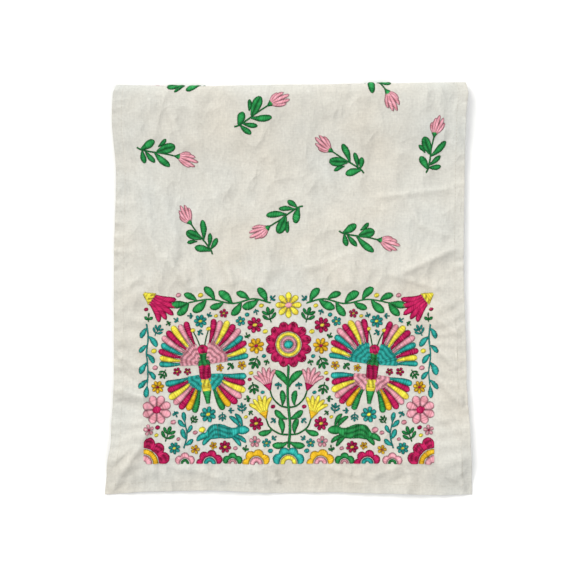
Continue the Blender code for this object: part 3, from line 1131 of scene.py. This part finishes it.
PLANT_BRANCHES = (
    # foot, points, heading at the tulip, petals, cup
    ((0.8, -55), ((9, -54), (18, -48), (22, -39)), 1.25, "yellow", "gold"),
    ((0.8, -29), ((8, -27), (15, -20), (18, -12)), 1.25, "pink", "magenta"),
)
PLANT_LEAVES = (
    # foot, tip, width, bend
    ((1, -62), (15.5, -65), 7.0, -0.12),
    ((6, -54), (9, -40), 6.4, 0.10),
    ((1, -40), (13, -31.5), 6.6, -0.10),
    ((6, -27), (7, -12.5), 6.2, 0.08),
    ((0.5, -9), (13.5, 6), 7.4, 0.12),
    ((16, -50), (29, -54), 6.2, -0.10),
)
plant = new_spools()
plant["green"] += stalk(on_panel([(0, -68), (1.4, -46), (-0.8, -18), (0, 12)]), 3.2, 0.8)
for side in RIGHT_LEFT:
    for foot, bends, heading, petals, cup in PLANT_BRANCHES:
        points = on_panel([foot, *bends], side)
        plant["green"] += stalk(points, 1.9, 0.75)
        tulip(plant, points[-1], heading if side > 0 else math.pi - heading, 20.0, petals, cup, 0.62, 0.22)
    for foot, tip, width, bend in PLANT_LEAVES:
        plant["green"] += blade(*on_panel([foot, tip], side), width, bend * side)
heart = on_panel([(0, 32)])[0]
plant["magenta"] += ring(heart, 12.4, 18.4, 12, 4.4)
plant["yellow"] += ring(heart, 8.2, 12.2)
plant["pink"] += ring(heart, 4.4, 8.0)
plant["teal"] += disc(heart, 4.2)
sew_all("plant", plant)

# Panel: butterflies
# A pair of large butterflies, one to each side of the plant, with wings of radiating petals in all six
# threads. Wide fields are split into ribs that wander from row to row, as a machine's fill does.

BUTTERFLY_PLACE = (81, 9)
BUTTERFLY_TILT = -0.10
UPPER_PETALS = ("magenta", "pink", "yellow", "magenta", "pink", "teal", "magenta", "yellow", "teal")
LOWER_PETALS = ("teal", "magenta", "yellow", "pink", "magenta", "gold", "green")
BODY_BANDS = (
    # from, to, half width at both, thread
    (-34.0, -22.0, 1.8, 4.4, "green"),
    (-22.0, -11.0, 4.4, 5.6, "yellow"),
    (-11.0, 3.0, 5.6, 6.0, "magenta"),
    (3.0, 14.0, 6.0, 4.8, "green"),
)


def wing(spools, place, shoulder, start, end, reach, roots, petals, cap, cap_reach, hand):
    """Petals radiating from a shoulder over a ribbed cap; angles in degrees off the body's side."""
    def out(points):
        return place((np.asarray(points, float) + shoulder) * (hand, 1))

    step = (end - start) / len(petals)
    for k, colour in enumerate(petals):
        angle = math.radians(start + step * (k + 0.5))
        length = reach * (1.0 - 0.028 * abs(k - 3) - 0.03 * (k % 2))
        width = 2 * length * math.tan(abs(math.radians(step)) / 2) * 0.97
        foot, tip = out([polar(angle, roots), polar(angle, length)])
        spools[colour] += blade(foot, tip, width, 0.03 * hand, 0.86, 0.42, 0.0, 0.46)
    first, last = math.radians(start), math.radians(end)
    inner = out(circle((0, 0), 4.0, first, last))
    outer = out(circle((0, 0), cap_reach, first, last, len(petals), 1.8))
    spools[cap] += satin(inner, outer)


def butterfly(spools, side, upper_cap, lower_cap):
    """Both pairs of wings, the feelers, the banded body and the head."""
    def place(points):
        return on_panel(turned(points, BUTTERFLY_TILT, BUTTERFLY_PLACE), side)

    for hand in RIGHT_LEFT:
        wing(spools, place, (2.0, -6.0), -3, -76, 41.0, 16.0, LOWER_PETALS, lower_cap, 15.5, hand)
        wing(spools, place, (2.0, 4.0), 79, 2, 48.0, 21.0, UPPER_PETALS, upper_cap, 20.5, hand)
        feeler = place([(hand * 1.6, 19.0), (hand * 4.4, 29.0), (hand * 7.0, 35.5)])
        spools["green"] += stalk(feeler, 1.3, 0.8)
        spools["yellow"] += disc(place([(hand * 7.6, 37.5)])[0], 2.2)
    for low, high, half_low, half_high, colour in BODY_BANDS:
        left, right = (place([(s * half_low, low), (s * half_high, high)]) for s in (-1, 1))
        spools[colour] += satin(left, right, rise=1.5)
    spools["magenta"] += disc(place([(0, 18.0)])[0], 5.2)


butterflies = new_spools()
butterfly(butterflies, 1, "teal", "pink")
butterfly(butterflies, -1, "pink", "teal")
sew_all("butterfly", butterflies)

# Panel: hares
# Two leaping hares with long ears under the butterflies, facing the plant, one green and one teal. Dyed
# cotton thread in satin stitch like the rest, with the wide bodies split into ribs.

HARE_SCALE = 1.22
HARE_PLACE = (62, -53.5)
HARE_TILT = 0.06
HARE_BACK = ((-15, -1), (-11, 5.5), (-3, 7), (5, 4.8), (11, 5.2))
HARE_BELLY = ((-15, -3), (-11, -5.5), (-3, -4.4), (5, -4.0), (11, -0.5))
HARE_LIMBS = (
    # foot, tip, width, bend
    ((8, -1.5), (17.5, -6.4), 4.0, 0.10),
    ((6, -2.5), (13.5, -9.6), 3.8, 0.10),
    ((-11, -2.5), (-21.0, -7.4), 5.2, -0.16),
    ((-9, -3.5), (-16.0, -10.5), 4.4, -0.14),
    ((11.5, 6.0), (3.0, 13.2), 4.0, -0.10),
    ((13.5, 7.0), (7.5, 15.6), 4.0, -0.10),
)
hares = new_spools()
for side, coat, trim in ((1, "green", "pink"), (-1, "teal", "yellow")):
    def place_hare(points):
        sized = np.asarray(points, float) * (-HARE_SCALE, HARE_SCALE)
        return on_panel(turned(sized, HARE_TILT, HARE_PLACE), side)

    for foot, tip, width, bend in HARE_LIMBS:
        hares[coat] += blade(*place_hare([foot, tip]), width * HARE_SCALE, -bend * side, 0.55, 0.5, 0.0)
    back, belly = (place_hare(curve_through(points)) for points in (HARE_BACK, HARE_BELLY))
    hares[coat] += satin(back, belly, rise=1.4)
    hares[coat] += blade(*place_hare([(9.5, 3.2), (19.5, 3.6)]), 7.4 * HARE_SCALE, 0.0, 0.42, 0.7, 0.0)
    hares[trim] += disc(place_hare([(-17.6, 1.6)])[0], 3.0)
    hares["magenta"] += disc(place_hare([(15.2, 4.4)])[0], 1.0)
sew_all("hare", hares)

# Panel: borders
# Leafy garlands, tulips, daisies and part rosettes round the panel's four sides, mirrored left and right.
# Dyed cotton thread in satin stitch, with each rosette made of rings of stitches that point at its middle.

BASE_LINE = -82.5
CORNER_X = 139.5
HALF_ROSETTES = (
    # x, outer radius, lobes, scallop depth, thread, inner radius, inner thread
    (31, 11.0, 7, 3.0, "gold", 6.8, "pink"),
    (54, 8.0, 6, 2.6, "green", 4.6, "pink"),
    (76, 10.4, 7, 3.0, "magenta", 6.4, "teal"),
    (100, 8.0, 6, 2.6, "pink", 4.6, "green"),
)
CORNER_ROSETTE = (
    # inner radius, outer radius, lobes, scallop depth, thread, from the outside in
    (14.4, 21.5, 12, 4.4, "magenta"),
    (8.6, 14.1, 0, 0.0, "gold"),
    (1.6, 8.3, 0, 0.0, "pink"),
)
border = new_spools()
for side in RIGHT_LEFT:
    def spot(*points):
        return on_panel(points, side)

    def facing(degrees):
        return math.radians(degrees if side > 0 else 180 - degrees)

    garland(border, spot((17, 72), (34, 76), (54, 71.5), (76, 75.5), (98, 72)), 8.6, (15.5, 7.8), side)
    tulip(border, spot((139, 81))[0], facing(216), 30, "magenta", "yellow", 0.46, 0.20)
    side_stem = spot((137, 52), (135.5, 38), (137, 22), (135.5, 6), (136.5, -8))
    garland(border, side_stem, 8.4, (11.5, 5.6), side, colour="teal")
    daisy(border, spot((127, -31))[0], 14.0, 8, "pink", "magenta", 4.4, 8.6, 0.4)
    quarter = sorted((facing(90), facing(180)))
    for inner, outer, lobes, depth, colour in CORNER_ROSETTE:
        border[colour] += ring(spot((CORNER_X, BASE_LINE))[0], inner, outer, lobes, depth, *quarter)
    for x, outer, lobes, depth, colour, inner, heart_colour in HALF_ROSETTES:
        middle = spot((x, BASE_LINE))[0]
        border[colour] += ring(middle, inner, outer, lobes, depth, 0.0, math.pi)
        border[heart_colour] += ring(middle, 1.4, inner - 0.3, 0, 0.0, 0.0, math.pi)
    garland(border, spot((101, -68), (98, -56), (100, -43)), 6.0, (9.6, 5.0), side, 0.6, "teal")
middle = on_panel([(0, BASE_LINE)])[0]
border["teal"] += ring(middle, 8.4, 13.0, 8, 3.2, 0.0, math.pi)
border["yellow"] += ring(middle, 3.4, 8.1, 0, 0.0, 0.0, math.pi)
daisy(border, on_panel([(0, 70)])[0], 12.4, 8, "yellow", "pink", 3.4, 6.4, 0.0)
sew_all("border", border)

# Panel: small fillers
# Florets, sprays of leaves and dots, each as large as its gap between the larger motifs allows. They are
# made of the same dyed cotton threads, in short satin stitches.

GAP_STEP = 1.25
GAP_MARGIN = 1.8
GAP_SMALLEST = 1.7
GAP_LARGEST = 7.6
FLORET_SMALLEST = 3.3
FLORET_LARGE = 5.6
SPRAY_SMALLEST = 2.6
SPRAY_LARGE = 4.2
FLORET_COLOURS = (
    # petals, eye
    ("magenta", "yellow"),
    ("pink", "magenta"),
    ("teal", "yellow"),
    ("gold", "magenta"),
    ("pink", "teal"),
)
LEAF_COLOURS = ("green", "green", "teal")
DOT_COLOURS = ("teal", "pink", "magenta", "yellow")

spots_tree = KDTree(sum(len(points) for name, points in panel_spots))
spot_names = []
for name, points in panel_spots:
    for point in points:
        spots_tree.insert((point[0], point[1], 0.0), len(spot_names))
        spot_names.append(name)
spots_tree.balance()
places = np.array([
    (x, y)
    for x in np.arange(GAP_STEP, PANEL_HALF[0], GAP_STEP)
    for y in np.arange(GAP_STEP - PANEL_HALF[1], PANEL_HALF[1], GAP_STEP)
])
nearest = [spots_tree.find((x, y, 0.0)) for x, y in places]
gap = np.array([found[2] for found in nearest])
beside = [spot_names[found[1]] for found in nearest]
rim = np.minimum(PANEL_HALF[0] - places[:, 0], PANEL_HALF[1] - np.abs(places[:, 1])) + 1.0
gap = np.minimum(np.minimum(gap, rim), places[:, 0] + 0.5) - GAP_MARGIN


def other_than(taken, choices, turn):
    """The next choice whose first thread isn't the one beside it."""
    for k in range(len(choices)):
        choice = choices[(turn + k) % len(choices)]
        if (choice if isinstance(choice, str) else choice[0]) != taken:
            return choice
    return choices[turn % len(choices)]


def spray(spool, middle, heading, radius):
    """A short stem with one leaf at its tip and one or two pairs below, as wide as its gap."""
    foot = middle - polar(heading, radius)
    pairs = 2 if radius > SPRAY_LARGE else 1
    spool += stalk([foot, middle, middle + polar(heading, radius * 0.3)], 1.2, 0.8)
    for k in range(pairs):
        joint = foot + polar(heading, radius * (0.35 + 0.62 * k))
        for opening in (-0.85, 0.85):
            tip = joint + polar(heading + opening, radius * (1.12 - 0.12 * k))
            spool += blade(joint, tip, radius * (0.80 / pairs + 0.08), 0.08 * opening, root=0.2)
    spool += blade(middle, middle + polar(heading, radius), radius * 0.56, 0.0, 0.6, 0.3)


fillers = new_spools()
turn = 0
while True:
    widest = int(np.argmax(gap))
    radius = min(float(gap[widest]), GAP_LARGEST)
    if radius < GAP_SMALLEST:
        break
    centre, taken = places[widest], beside[widest]
    for side in RIGHT_LEFT:
        middle = on_panel([centre], side)[0]
        if radius > FLORET_SMALLEST and turn % 5 in (0, 2, 3):
            petal, eye = other_than(taken, FLORET_COLOURS, turn)
            petals = 5 if radius < FLORET_LARGE else 7
            width = radius * (0.86 if petals == 5 else 0.66)
            daisy(fillers, middle, radius, petals, petal, eye, radius * 0.28, width, turn * 0.7)
        elif radius > SPRAY_SMALLEST:
            colour = other_than(taken, LEAF_COLOURS, turn)
            heading = turn * 1.9 if side > 0 else math.pi - turn * 1.9
            spray(fillers[colour], middle, heading, radius)
        else:
            fillers[other_than(taken, DOT_COLOURS, turn)] += disc(middle, radius)
    away = np.hypot(*(places - centre).T) - radius - GAP_MARGIN
    gap = np.minimum(gap, away)
    turn += 1
sew_all("filler", fillers)
